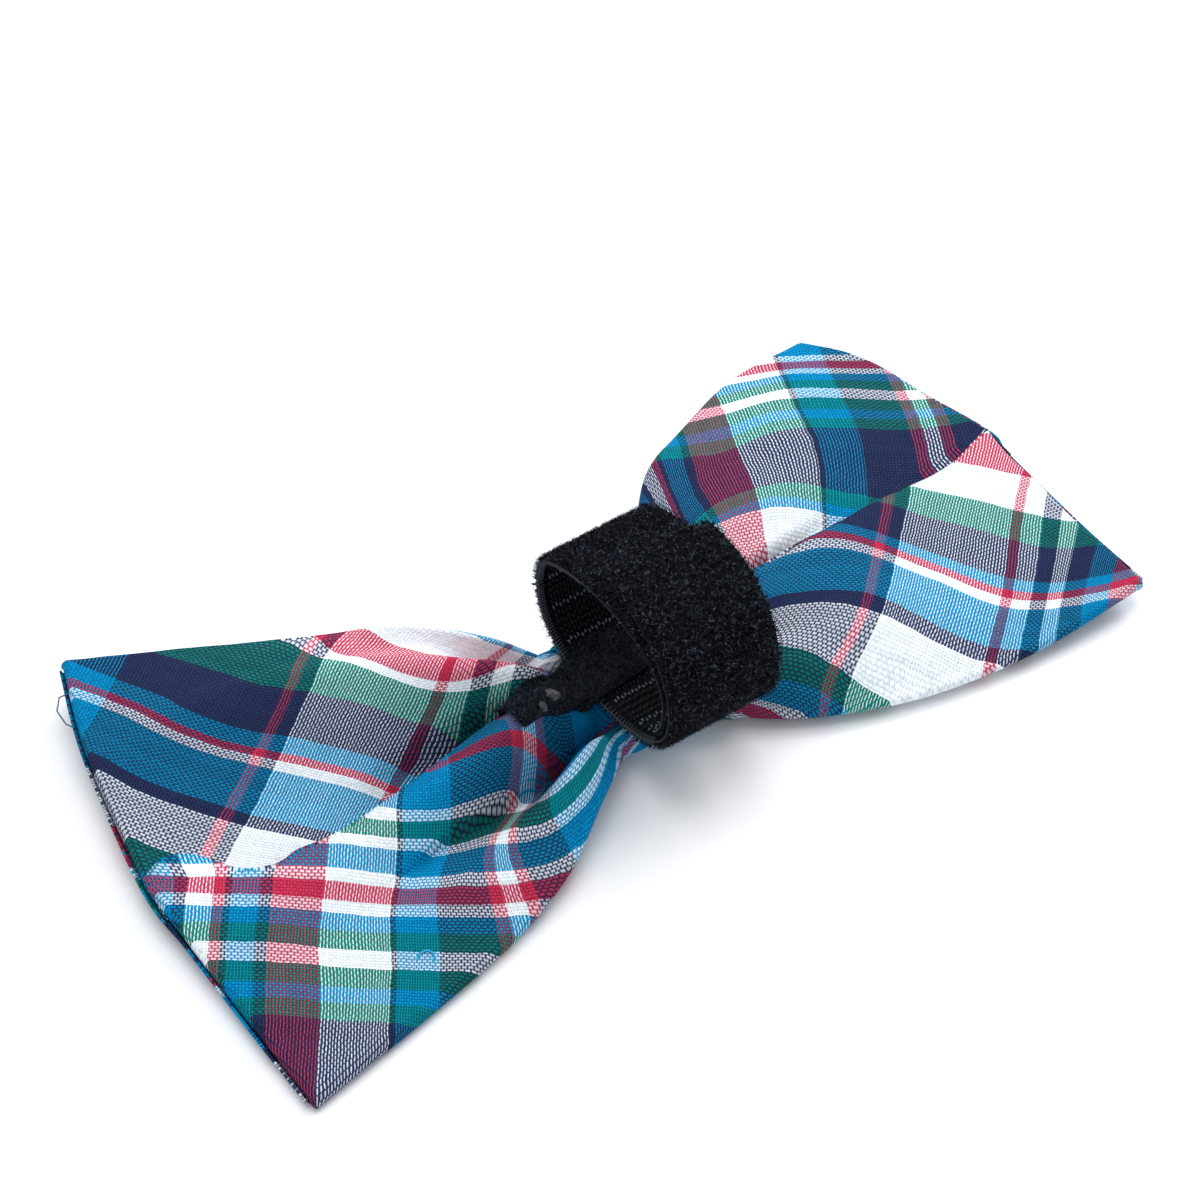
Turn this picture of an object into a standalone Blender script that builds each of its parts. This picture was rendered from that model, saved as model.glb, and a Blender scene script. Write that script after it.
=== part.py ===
# A pet's bow tie, lying on its front with the hook-and-loop collar strap standing up on its back.
# Metres, +Z up, +X along the bow. The bow is laid out from the middle of its waist, on the surface
# it lies on, and is moved at the end so that the origin is the middle of its footprint.
# "Near" is -Y, "far" is +Y, "back" is the upper face and "front" the lower face.

import math

import bpy

MM = 0.001

# Driving sizes

GAP = 0.3 * MM  # left between pieces that touch
CLOTH = 1.0 * MM  # wall of the doubled cotton
FOLD = 1.8 * MM  # thickness where the cloth is folded back on itself

LEFT_REACH = 66.0 * MM  # middle of the waist to the left wing's outer edge
RIGHT_REACH = 67.0 * MM
WING_HALF_WIDTH = 36.0 * MM  # waist line to a corner, before the wings sweep back
PUFF_HEIGHT = 13.0 * MM  # tallest fold beside the knot

WAIST_HALF_WIDTH = 8.0 * MM  # the gathered cloth inside the knot
WAIST_HEIGHT = 3.6 * MM
NECK_EASE = 0.6 * MM  # the wings start this much wider than the waist
KNOT_LENGTH = 13.0 * MM  # along the bow
KNOT_CORNER = 1.6 * MM

STRAP_WIDTH = 16.0 * MM
STRAP_THICKNESS = 1.7 * MM
LOOP_WIDTH = 30.5 * MM  # outside of the strap's inner turn, across the bow
LOOP_HEIGHT = 22.5 * MM
LOOP_OFFSET = -4.9 * MM  # the loop leans to the near side of the waist
LOOP_SQUARENESS = 2.3  # 2 is an ellipse, and more is squarer
LAP_SKEW = 1.5 * MM  # the lap's free end sits this far to the right
# Turns are counted from the far side over the top.
LAP_END_DEG = 82.0  # the free end, on top
LAP_SQUARE_DEG = 165.0  # where the lap lies square on the turn under it
UNDER_FROM_DEG = 380.0  # where the strip starts to dip under its free end
UNDER_TO_DEG = 436.0
INNER_END_DEG = 575.0

KEEPER_LEFT = 20.5 * MM  # reach of the pile strip from the middle of the waist
KEEPER_RIGHT = 14.5 * MM
KEEPER_WIDTH = 7.2 * MM
KEEPER_THICKNESS = 1.3 * MM
KEEPER_OFFSET = 0.0 * MM
KEEPER_TURN_DEG = 6.7  # it isn't quite in line with the bow
KEEPER_RISE = 4.0 * MM  # run over which it climbs from the strap to the folds

KNOT_HEIGHT = WAIST_HEIGHT + 2 * (CLOTH + GAP)
NECK = STRAP_WIDTH / 2 + GAP  # the wings open out beyond the strap
NECK_HALF_WIDTH = WAIST_HALF_WIDTH + NECK_EASE
LAP_RISE = STRAP_THICKNESS + GAP
FOLD_GAP = 2 * GAP  # under the keeper strip, where it bridges the folds
GRAIN = 0.7 * MM  # the strip is too stiff to follow anything smaller

# Fold tables. A wing's back has eight lines that run from the neck (out = 0) to the outer edge
# (out = 1): the far folded edge, a dip, a ridge, the sewn seam, a ridge, a dip, a ridge and the
# near folded edge.

LINES = ("far", "dip_1", "ridge_1", "seam", "ridge_2", "dip_2", "ridge_3", "near")
SEAM = LINES.index("seam")

# Where each line meets the outer edge, as a share of the wing's reach.
EDGE = {
    "left": (0.885, 0.93, 0.96, 1.0, 0.995, 0.99, 0.985, 0.98),
    "right": (0.865, 0.94, 0.97, 1.0, 0.985, 0.975, 0.965, 0.96),
}

# Place across the bow: shares of the neck's half width in the first row, of the wing's after it.
ACROSS = {
    "left": (
        # out, far, dip_1, ridge_1, seam, ridge_2, dip_2, ridge_3, near
        (0.00, 1.00, 0.70, 0.40, 0.05, -0.35, -0.63, -0.88, -1.00),
        (0.12, 0.33, 0.24, 0.12, 0.02, -0.11, -0.19, -0.31, -0.38),
        (0.27, 0.49, 0.37, 0.24, 0.05, -0.15, -0.25, -0.41, -0.535),
        (0.45, 0.71, 0.56, 0.38, 0.05, -0.15, -0.30, -0.46, -0.645),
        (0.70, 0.93, 0.75, 0.55, 0.03, -0.15, -0.36, -0.54, -0.73),
        (1.00, 1.165, 0.90, 0.65, 0.17, -0.10, -0.35, -0.58, -0.815),
    ),
    "right": (
        # out, far, dip_1, ridge_1, seam, ridge_2, dip_2, ridge_3, near
        (0.00, 1.00, 0.70, 0.40, 0.05, -0.35, -0.72, -1.08, -1.32),
        (0.12, 0.48, 0.33, 0.19, 0.05, -0.07, -0.22, -0.36, -0.46),
        (0.27, 0.71, 0.52, 0.32, 0.09, -0.02, -0.25, -0.43, -0.57),
        (0.45, 0.85, 0.64, 0.40, 0.14, 0.03, -0.26, -0.50, -0.65),
        (0.70, 1.00, 0.77, 0.49, 0.19, 0.07, -0.22, -0.49, -0.70),
        (1.00, 1.05, 0.84, 0.55, 0.23, 0.10, -0.16, -0.43, -0.70),
    ),
}

# Height of the back: shares of the knot's height in the first row, of the puff's after it.
BACK = {
    "left": (
        # out, far, dip_1, ridge_1, seam, ridge_2, dip_2, ridge_3, near
        (0.00, 0.78, 0.66, 0.93, 0.80, 0.95, 0.50, 0.84, 0.62),
        (0.12, 0.70, 0.36, 0.84, 0.60, 0.95, 0.14, 0.74, 0.40),
        (0.27, 0.82, 0.74, 0.98, 0.44, 0.93, 0.20, 0.56, 0.28),
        (0.45, 0.56, 0.76, 0.88, 0.22, 0.74, 0.36, 0.42, 0.18),
        (0.70, 0.46, 0.60, 0.66, 0.17, 0.44, 0.34, 0.32, 0.16),
        (1.00, 0.42, 0.38, 0.34, 0.26, 0.24, 0.20, 0.17, 0.15),
    ),
    "right": (
        # out, far, dip_1, ridge_1, seam, ridge_2, dip_2, ridge_3, near
        (0.00, 0.78, 0.82, 0.93, 0.85, 0.95, 0.82, 0.80, 0.60),
        (0.12, 0.60, 0.60, 0.72, 0.62, 0.86, 0.66, 0.50, 0.20),
        (0.27, 0.58, 0.66, 0.70, 0.48, 0.82, 0.66, 0.42, 0.17),
        (0.45, 0.46, 0.57, 0.56, 0.36, 0.66, 0.54, 0.36, 0.17),
        (0.70, 0.40, 0.45, 0.42, 0.32, 0.52, 0.42, 0.32, 0.20),
        (1.00, 0.34, 0.33, 0.33, 0.36, 0.36, 0.34, 0.33, 0.32),
    ),
}

# Height of the front between its folded edges, in the same shares. At 0 the cloth lies flat.
FRONT = {
    "left": (
        # out, far, dip_1, ridge_1, seam, ridge_2, dip_2, ridge_3, near
        (0.00, 0.24, 0.16, 0.14, 0.14, 0.14, 0.14, 0.16, 0.24),
        (0.12, 0.40, 0.22, 0.06, 0.02, 0.02, 0.06, 0.12, 0.22),
        (0.27, 0.50, 0.30, 0.08, 0.00, 0.00, 0.00, 0.04, 0.12),
        (0.45, 0.40, 0.28, 0.08, 0.00, 0.00, 0.00, 0.00, 0.04),
        (0.70, 0.32, 0.22, 0.10, 0.00, 0.00, 0.00, 0.00, 0.02),
        (1.00, 0.28, 0.24, 0.20, 0.12, 0.10, 0.06, 0.03, 0.01),
    ),
    "right": (
        # out, far, dip_1, ridge_1, seam, ridge_2, dip_2, ridge_3, near
        (0.00, 0.24, 0.16, 0.14, 0.14, 0.14, 0.14, 0.16, 0.20),
        (0.12, 0.36, 0.20, 0.06, 0.02, 0.02, 0.02, 0.04, 0.11),
        (0.27, 0.38, 0.24, 0.08, 0.00, 0.00, 0.00, 0.03, 0.10),
        (0.45, 0.30, 0.20, 0.08, 0.00, 0.00, 0.00, 0.03, 0.10),
        (0.70, 0.24, 0.18, 0.10, 0.04, 0.00, 0.00, 0.06, 0.13),
        (1.00, 0.20, 0.19, 0.19, 0.22, 0.22, 0.20, 0.20, 0.22),
    ),
}

# The same eight lines in the knot, as shares of the waist's half width.
WAIST = (1.00, 0.70, 0.38, 0.05, -0.35, -0.63, -0.86, -1.00)

STEPS_BETWEEN_LINES = 3
STEPS_BETWEEN_ROWS = 4

SIDES = {"left": (-1, LEFT_REACH), "right": (1, RIGHT_REACH)}

COLOURS = {
    # name: (red, green, blue, roughness)
    "bow_cloth": (0.05, 0.24, 0.46, 0.85),
    "knot_cloth": (0.06, 0.20, 0.34, 0.85),
    "strap_pile": (0.010, 0.011, 0.014, 0.95),
    "keeper_pile": (0.016, 0.018, 0.022, 0.95),
}


def clear_scene():
    for old in list(bpy.data.objects):
        bpy.data.objects.remove(old, do_unlink=True)


def material(name):
    red, green, blue, roughness = COLOURS[name]
    made = bpy.data.materials.new(name)
    made.use_nodes = True
    shader = made.node_tree.nodes["Principled BSDF"]
    shader.inputs["Base Color"].default_value = (red, green, blue, 1.0)
    shader.inputs["Roughness"].default_value = roughness
    shader.inputs["Metallic"].default_value = 0.0
    return made


def add_object(name, points, faces, finish, collection):
    mesh = bpy.data.meshes.new(name)
    mesh.from_pydata(points, [], faces)
    mesh.materials.append(finish)
    mesh.shade_smooth()
    mesh.set_sharp_from_angle(angle=math.radians(50))
    made = bpy.data.objects.new(name, mesh)
    collection.objects.link(made)
    return made


def smooth_step(share):
    share = min(max(share, 0.0), 1.0)
    return share * share * (3 - 2 * share)


def through(places, values, place):
    """The smooth curve through the values, read at one place."""
    last = len(places) - 1
    span = 0
    while span < last - 1 and place > places[span + 1]:
        span += 1

    def slope(at):
        before, after = max(at - 1, 0), min(at + 1, last)
        return (values[after] - values[before]) / (places[after] - places[before])

    run = places[span + 1] - places[span]
    t = (place - places[span]) / run
    start = (2 * t**3 - 3 * t**2 + 1) * values[span]
    leave = (t**3 - 2 * t**2 + t) * run * slope(span)
    end = (3 * t**2 - 2 * t**3) * values[span + 1]
    arrive = (t**3 - t**2) * run * slope(span + 1)
    return start + leave + end + arrive


def read_table(table, column, out, neck_size, wing_size):
    """A fold table's value, with its first row in neck sizes and the others in wing sizes."""
    places = [row[0] for row in table]
    values = [row[column + 1] * (wing_size if row[0] else neck_size) for row in table]
    return through(places, values, out)


def fold_line(side, column, out):
    """(x, y, back height, front height) on one of a wing's lines."""
    sign, reach = SIDES[side]
    x = sign * (NECK + (reach * EDGE[side][column] - NECK) * out)
    y = read_table(ACROSS[side], column, out, NECK_HALF_WIDTH, WING_HALF_WIDTH)
    back = read_table(BACK[side], column, out, KNOT_HEIGHT - GAP, PUFF_HEIGHT)
    front = read_table(FRONT[side], column, out, KNOT_HEIGHT - GAP, PUFF_HEIGHT)
    return x, y, back, front


def waist_line(side, column, x):
    sign = SIDES[side][0]
    bottom = CLOTH + GAP
    return sign * x, WAIST[column] * WAIST_HALF_WIDTH, bottom + WAIST_HEIGHT, bottom


def across_lines(lines):
    """A section with more points: each panel is smooth, and the panels meet in a crease."""
    section = []
    for first, last in ((0, SEAM), (SEAM, len(LINES) - 1)):
        places = list(range(first, last + 1))
        steps = (last - first) * STEPS_BETWEEN_LINES
        for step in range(steps + (last == len(LINES) - 1)):
            place = first + step / STEPS_BETWEEN_LINES
            x, y, back, front = (
                through(places, [lines[c][k] for c in places], place) for k in range(4)
            )
            section.append((x, y, back, max(min(front, back - FOLD), 0.0)))
    return section


def wing_sections(side):
    """A wing's sections from the middle of the knot to its outer edge."""
    columns = range(len(LINES))
    starts = (GAP / 2, KNOT_LENGTH / 2 + GAP)
    sections = [across_lines([waist_line(side, c, x) for c in columns]) for x in starts]
    outs = [row[0] for row in ACROSS[side]]
    for a, b in zip(outs, outs[1:]):
        for step in range(STEPS_BETWEEN_ROWS):
            out = a + (b - a) * step / STEPS_BETWEEN_ROWS
            sections.append(across_lines([fold_line(side, c, out) for c in columns]))
    sections.append(across_lines([fold_line(side, c, 1.0) for c in columns]))
    return sections


def pulled_in(sections, reach):
    """The cavity's sections: a cloth wall inside the outer ones, in plan and in height."""
    inner = []
    for section in sections:
        far, near = section[0][1], section[-1][1]
        middle, half = (far + near) / 2, (far - near) / 2
        moved = []
        for x, y, back, front in section:
            level = (back + front) / 2
            room = max((back - front) / 2 - CLOTH, GAP / 2)
            inside_x = x if section is sections[0] else x * (1 - CLOTH / reach)
            inside_y = middle + (y - middle) * (1 - CLOTH / half)
            moved.append((inside_x, inside_y, level + room, level - room))
        inner.append(moved)
    return inner


def sock(sections, start):
    """Points and faces of a flattened tube that is closed at its last section."""
    count = len(sections[0])
    points = []
    for section in sections:
        points += [(x, y, back) for x, y, back, front in section]
        points += [(x, y, front) for x, y, back, front in reversed(section)]
    ring = 2 * count
    faces = []
    for s in range(len(sections) - 1):
        for k in range(ring):
            a, b = s * ring + k, s * ring + (k + 1) % ring
            faces.append((start + a, start + a + ring, start + b + ring, start + b))
    last = (len(sections) - 1) * ring
    for k in range(count - 1):
        opposite = ring - 1 - k
        end = (last + k, last + opposite, last + opposite - 1, last + k + 1)
        faces.append(tuple(start + index for index in end))
    return points, faces


def wing(side, finish, collection):
    sign, reach = SIDES[side]
    sections = wing_sections(side)
    outside, outer_faces = sock(sections, 0)
    inside, inner_faces = sock(pulled_in(sections, reach), len(outside))
    ring = 2 * len(sections[0])
    mouth = []
    for k in range(ring):
        after = (k + 1) % ring
        mouth.append((k, after, len(outside) + after, len(outside) + k))
    faces = outer_faces + [face[::-1] for face in inner_faces] + mouth
    if sign > 0:
        faces = [face[::-1] for face in faces]
    return add_object(side + "_wing", outside + inside, faces, finish, collection)


def centre_knot(finish, collection):
    """The band of cloth round the waist: a rounded loop, open along the bow."""
    half_width = WAIST_HALF_WIDTH + GAP + CLOTH
    half_height = KNOT_HEIGHT / 2
    steps = 5
    loop = []
    for quarter in range(4):
        towards = math.radians(45 + 90 * quarter)
        corner_y = math.copysign(half_width - KNOT_CORNER, math.cos(towards))
        corner_z = math.copysign(half_height - KNOT_CORNER, math.sin(towards))
        for step in range(steps + 1):
            turn = math.radians(90 * quarter + 90 * step / steps)
            y = corner_y + KNOT_CORNER * math.cos(turn)
            loop.append((y, half_height + corner_z + KNOT_CORNER * math.sin(turn)))
    points = []
    for x in (-KNOT_LENGTH / 2, KNOT_LENGTH / 2):
        points += [(x, y, z) for y, z in loop]
    count = len(loop)
    faces = [(k, (k + 1) % count, count + (k + 1) % count, count + k) for k in range(count)]
    made = add_object("center_knot", points, faces, finish, collection)
    wall = made.modifiers.new("cloth", "SOLIDIFY")
    wall.thickness = CLOTH
    wall.offset = -1
    wall.use_even_offset = True
    return made


def loop_point(degrees, out):
    """(y, z) on the strap's oval, moved out from its inner turn's outer face."""
    turn = math.radians(degrees)
    power = 2 / LOOP_SQUARENESS
    across = math.copysign(abs(math.cos(turn)) ** power, math.cos(turn))
    up = math.copysign(abs(math.sin(turn)) ** power, math.sin(turn))
    y = LOOP_OFFSET + (LOOP_WIDTH / 2 + out) * across
    z = KNOT_HEIGHT + GAP + LOOP_HEIGHT / 2 + (LOOP_HEIGHT / 2 + out) * up
    return y, z


def loop_floor(y):
    """Height of the strap's inner face above a place on the waist."""
    half_width = LOOP_WIDTH / 2 - STRAP_THICKNESS
    half_height = LOOP_HEIGHT / 2 - STRAP_THICKNESS
    share = min(abs(y - LOOP_OFFSET) / half_width, 1.0)
    drop = (1 - share**LOOP_SQUARENESS) ** (1 / LOOP_SQUARENESS)
    return KNOT_HEIGHT + GAP + LOOP_HEIGHT / 2 - half_height * drop


def closure_strap(finish, collection):
    """One strip wound into a loop. Its free end laps over the top and the near side."""
    step = 7.0
    count = round((INNER_END_DEG - LAP_END_DEG) / step)
    points = []
    for k in range(count + 1):
        degrees = LAP_END_DEG + (INNER_END_DEG - LAP_END_DEG) * k / count
        skew = 1 - smooth_step((degrees - LAP_END_DEG) / (LAP_SQUARE_DEG - LAP_END_DEG))
        under = smooth_step((degrees - UNDER_FROM_DEG) / (UNDER_TO_DEG - UNDER_FROM_DEG))
        y, z = loop_point(degrees, -LAP_RISE * under)
        for x in (-STRAP_WIDTH / 2, 0.0, STRAP_WIDTH / 2):
            points.append((x + LAP_SKEW * skew, y, z))
    columns = 3
    faces = []
    for k in range(count):
        for j in range(columns - 1):
            a = columns * k + j
            faces.append((a, a + columns, a + columns + 1, a + 1))
    made = add_object("closure_strap", points, faces, finish, collection)
    wall = made.modifiers.new("strap", "SOLIDIFY")
    wall.thickness = STRAP_THICKNESS
    wall.offset = -1
    wall.use_even_offset = True
    return made


def back_height(x, y):
    """Height of a wing's back at a place beside the knot."""
    side = "left" if x < 0 else "right"
    reach = SIDES[side][1]
    out = max((abs(x) - NECK) / (reach - NECK), 0.0)
    section = across_lines([fold_line(side, c, out) for c in range(len(LINES))])
    for (_, y0, z0, _), (_, y1, z1, _) in zip(section, section[1:]):
        if y1 <= y <= y0:
            return z0 + (z1 - z0) * (y - y0) / (y1 - y0)
    return 0.0


def keeper_strip(finish, collection):
    """The strip of pile that holds the strap down, glued over the waist through the loop."""
    stations = 26
    columns = 6
    points = []
    for s in range(stations + 1):
        x = -KEEPER_LEFT + (KEEPER_LEFT + KEEPER_RIGHT) * s / stations
        lifted = smooth_step((abs(x) - NECK) / KEEPER_RISE)
        settled_x = math.copysign(max(abs(x), NECK + KEEPER_RISE), x)
        middle = KEEPER_OFFSET + x * math.tan(math.radians(KEEPER_TURN_DEG))
        for c in range(columns):
            y = middle + KEEPER_WIDTH * (c / (columns - 1) - 0.5)
            low = loop_floor(y) + GAP
            high = back_height(settled_x, y) + FOLD_GAP
            level = low + (high - low) * lifted
            if abs(x) > NECK:
                about = [back_height(x + dx, y + dy) for dx in (-GRAIN, 0, GRAIN) for dy in (-GRAIN, 0, GRAIN)]
                level = max(level, max(about) + FOLD_GAP)
            points.append((x, y, level))
    faces = []
    for s in range(stations):
        for c in range(columns - 1):
            a = s * columns + c
            faces.append((a, a + 1, a + columns + 1, a + columns))
    made = add_object("keeper_strip", points, faces, finish, collection)
    wall = made.modifiers.new("pile", "SOLIDIFY")
    wall.thickness = KEEPER_THICKNESS
    wall.offset = -1
    return made


def settle(objects):
    """Moves the finished bow so that the middle of its footprint is the origin."""
    view = bpy.context.evaluated_depsgraph_get()
    corners = []
    for piece in objects:
        shape = piece.evaluated_get(view).to_mesh()
        corners += [vertex.co.copy() for vertex in shape.vertices]
    low = [min(corner[axis] for corner in corners) for axis in range(3)]
    high = [max(corner[axis] for corner in corners) for axis in range(3)]
    for piece in objects:
        piece.location = (-(low[0] + high[0]) / 2, -(low[1] + high[1]) / 2, -low[2])


def main():
    clear_scene()
    collection = bpy.data.collections.new("pet_bow_tie")
    bpy.context.scene.collection.children.link(collection)
    finishes = {name: material(name) for name in COLOURS}
    made = [
        wing("left", finishes["bow_cloth"], collection),
        wing("right", finishes["bow_cloth"], collection),
        centre_knot(finishes["knot_cloth"], collection),
        closure_strap(finishes["strap_pile"], collection),
        keeper_strip(finishes["keeper_pile"], collection),
    ]
    settle(made)


main()
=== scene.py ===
import math
import random

import bpy
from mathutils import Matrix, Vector, noise
from mathutils.bvhtree import BVHTree


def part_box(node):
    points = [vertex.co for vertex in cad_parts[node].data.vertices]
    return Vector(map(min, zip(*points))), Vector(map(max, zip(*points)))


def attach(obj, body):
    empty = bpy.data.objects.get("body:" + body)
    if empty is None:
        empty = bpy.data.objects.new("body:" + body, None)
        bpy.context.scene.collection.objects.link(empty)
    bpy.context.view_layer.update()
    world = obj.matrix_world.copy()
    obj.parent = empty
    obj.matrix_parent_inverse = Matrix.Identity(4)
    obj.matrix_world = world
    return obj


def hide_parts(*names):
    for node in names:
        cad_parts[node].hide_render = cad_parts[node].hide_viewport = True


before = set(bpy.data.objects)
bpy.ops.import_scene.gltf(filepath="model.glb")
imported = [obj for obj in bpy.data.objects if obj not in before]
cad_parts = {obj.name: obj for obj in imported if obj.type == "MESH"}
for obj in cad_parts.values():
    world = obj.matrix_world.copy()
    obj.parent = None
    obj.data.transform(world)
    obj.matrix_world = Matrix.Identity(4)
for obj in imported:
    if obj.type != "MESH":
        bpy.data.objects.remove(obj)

noise.seed_set(7)  # noise_vector would otherwise start from the clock

# A pet's bow tie lying on its front, with its hook-and-loop collar strap standing up on its back.
# Lengths are in metres. The bow is drawn from the middle of its waist: +X along the bow, +Y to its
# far edge and +Z out of its back. "Near" is -Y.

MM = 0.001
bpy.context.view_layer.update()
knot_low, knot_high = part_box("center_knot")
WAIST_AT = Vector(((knot_low.x + knot_high.x) / 2, (knot_low.y + knot_high.y) / 2, 0.0))

# The bow's sizes and folds, as in the part

GAP = 0.3 * MM
CLOTH = 1.0 * MM
LEFT_REACH = 66.0 * MM
RIGHT_REACH = 67.0 * MM
WING_HALF_WIDTH = 36.0 * MM
PUFF_HEIGHT = 13.0 * MM
WAIST_HALF_WIDTH = 8.0 * MM
WAIST_HEIGHT = 3.6 * MM
KNOT_LENGTH = 13.0 * MM
STRAP_WIDTH = 16.0 * MM
STRAP_THICKNESS = 1.7 * MM
LOOP_WIDTH = 30.5 * MM
LOOP_HEIGHT = 22.5 * MM
LOOP_OFFSET = -4.9 * MM
LOOP_SQUARENESS = 2.3
LAP_SKEW = 1.5 * MM
LAP_END_DEG = 82.0
LAP_SQUARE_DEG = 165.0
UNDER_FROM_DEG = 380.0
UNDER_TO_DEG = 436.0
INNER_END_DEG = 575.0
KEEPER_LEFT = 20.5 * MM
KEEPER_RIGHT = 14.5 * MM
KEEPER_WIDTH = 7.2 * MM
KEEPER_OFFSET = 0.0 * MM
KEEPER_TURN_DEG = 6.7
KEEPER_RISE = 4.0 * MM

KNOT_HEIGHT = WAIST_HEIGHT + 2 * (CLOTH + GAP)
NECK = STRAP_WIDTH / 2 + GAP
NECK_HALF_WIDTH = WAIST_HALF_WIDTH + 0.6 * MM
LAP_RISE = STRAP_THICKNESS + GAP

LINES = ("far", "dip_1", "ridge_1", "seam", "ridge_2", "dip_2", "ridge_3", "near")
SEAM = LINES.index("seam")
SIDES = {"left": (-1, LEFT_REACH), "right": (1, RIGHT_REACH)}
EDGE = {
    "left": (0.885, 0.93, 0.96, 1.0, 0.995, 0.99, 0.985, 0.98),
    "right": (0.865, 0.94, 0.97, 1.0, 0.985, 0.975, 0.965, 0.96),
}
# Each row is how far out it is, then one share for each of LINES.
ACROSS = {
    "left": (
        (0.00, 1.00, 0.70, 0.40, 0.05, -0.35, -0.63, -0.88, -1.00),
        (0.12, 0.33, 0.24, 0.12, 0.02, -0.11, -0.19, -0.31, -0.38),
        (0.27, 0.49, 0.37, 0.24, 0.05, -0.15, -0.25, -0.41, -0.535),
        (0.45, 0.71, 0.56, 0.38, 0.05, -0.15, -0.30, -0.46, -0.645),
        (0.70, 0.93, 0.75, 0.55, 0.03, -0.15, -0.36, -0.54, -0.73),
        (1.00, 1.165, 0.90, 0.65, 0.17, -0.10, -0.35, -0.58, -0.815),
    ),
    "right": (
        (0.00, 1.00, 0.70, 0.40, 0.05, -0.35, -0.72, -1.08, -1.32),
        (0.12, 0.48, 0.33, 0.19, 0.05, -0.07, -0.22, -0.36, -0.46),
        (0.27, 0.71, 0.52, 0.32, 0.09, -0.02, -0.25, -0.43, -0.57),
        (0.45, 0.85, 0.64, 0.40, 0.14, 0.03, -0.26, -0.50, -0.65),
        (0.70, 1.00, 0.77, 0.49, 0.19, 0.07, -0.22, -0.49, -0.70),
        (1.00, 1.05, 0.84, 0.55, 0.23, 0.10, -0.16, -0.43, -0.70),
    ),
}
BACK = {
    "left": (
        (0.00, 0.78, 0.66, 0.93, 0.80, 0.95, 0.50, 0.84, 0.62),
        (0.12, 0.70, 0.36, 0.84, 0.60, 0.95, 0.14, 0.74, 0.40),
        (0.27, 0.82, 0.74, 0.98, 0.44, 0.93, 0.20, 0.56, 0.28),
        (0.45, 0.56, 0.76, 0.88, 0.22, 0.74, 0.36, 0.42, 0.18),
        (0.70, 0.46, 0.60, 0.66, 0.17, 0.44, 0.34, 0.32, 0.16),
        (1.00, 0.42, 0.38, 0.34, 0.26, 0.24, 0.20, 0.17, 0.15),
    ),
    "right": (
        (0.00, 0.78, 0.82, 0.93, 0.85, 0.95, 0.82, 0.80, 0.60),
        (0.12, 0.60, 0.60, 0.72, 0.62, 0.86, 0.66, 0.50, 0.20),
        (0.27, 0.58, 0.66, 0.70, 0.48, 0.82, 0.66, 0.42, 0.17),
        (0.45, 0.46, 0.57, 0.56, 0.36, 0.66, 0.54, 0.36, 0.17),
        (0.70, 0.40, 0.45, 0.42, 0.32, 0.52, 0.42, 0.32, 0.20),
        (1.00, 0.34, 0.33, 0.33, 0.36, 0.36, 0.34, 0.33, 0.32),
    ),
}
FRONT = {
    "left": (
        (0.00, 0.24, 0.16, 0.14, 0.14, 0.14, 0.14, 0.16, 0.24),
        (0.12, 0.40, 0.22, 0.06, 0.02, 0.02, 0.06, 0.12, 0.22),
        (0.27, 0.50, 0.30, 0.08, 0.00, 0.00, 0.00, 0.04, 0.12),
        (0.45, 0.40, 0.28, 0.08, 0.00, 0.00, 0.00, 0.00, 0.04),
        (0.70, 0.32, 0.22, 0.10, 0.00, 0.00, 0.00, 0.00, 0.02),
        (1.00, 0.28, 0.24, 0.20, 0.12, 0.10, 0.06, 0.03, 0.01),
    ),
    "right": (
        (0.00, 0.24, 0.16, 0.14, 0.14, 0.14, 0.14, 0.16, 0.20),
        (0.12, 0.36, 0.20, 0.06, 0.02, 0.02, 0.02, 0.04, 0.11),
        (0.27, 0.38, 0.24, 0.08, 0.00, 0.00, 0.00, 0.03, 0.10),
        (0.45, 0.30, 0.20, 0.08, 0.00, 0.00, 0.00, 0.03, 0.10),
        (0.70, 0.24, 0.18, 0.10, 0.04, 0.00, 0.00, 0.06, 0.13),
        (1.00, 0.20, 0.19, 0.19, 0.22, 0.22, 0.20, 0.20, 0.22),
    ),
}
WAIST = (1.00, 0.70, 0.38, 0.05, -0.35, -0.63, -0.86, -1.00)

# How far the near panel's turned edge laps past the sewn seam, in mm. It wanders.
LIP = {
    "left": (
        (0.00, -1.0), (0.12, -1.5), (0.27, -2.5), (0.45, -2.8), (0.55, -2.4), (0.62, -1.6), (0.70, -0.6),
        (0.76, -2.2), (0.82, -1.6), (0.89, 2.0), (0.95, 2.4), (1.00, 0.6),
    ),
    "right": (
        (0.00, -0.5), (0.27, 0.3), (0.45, 0.0), (0.55, -1.2), (0.62, -2.2), (0.70, -3.0), (0.80, -3.2),
        (0.88, -2.6), (0.94, -1.2), (1.00, 0.0),
    ),
}

# The plaid

# Yarn colours, sRGB.
YARN = {
    "blue": "#0398c6",
    "navy": "#303c63",
    "green": "#0a8a7a",
    "white": "#f0f5f8",
    "red": "#cd4063",
}


def stripe_counts(text):
    """Stripes such as "red 4, white 7" as [(colour, threads)]."""
    return [(colour, int(threads)) for colour, threads in (stripe.split() for stripe in text.split(", "))]


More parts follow.
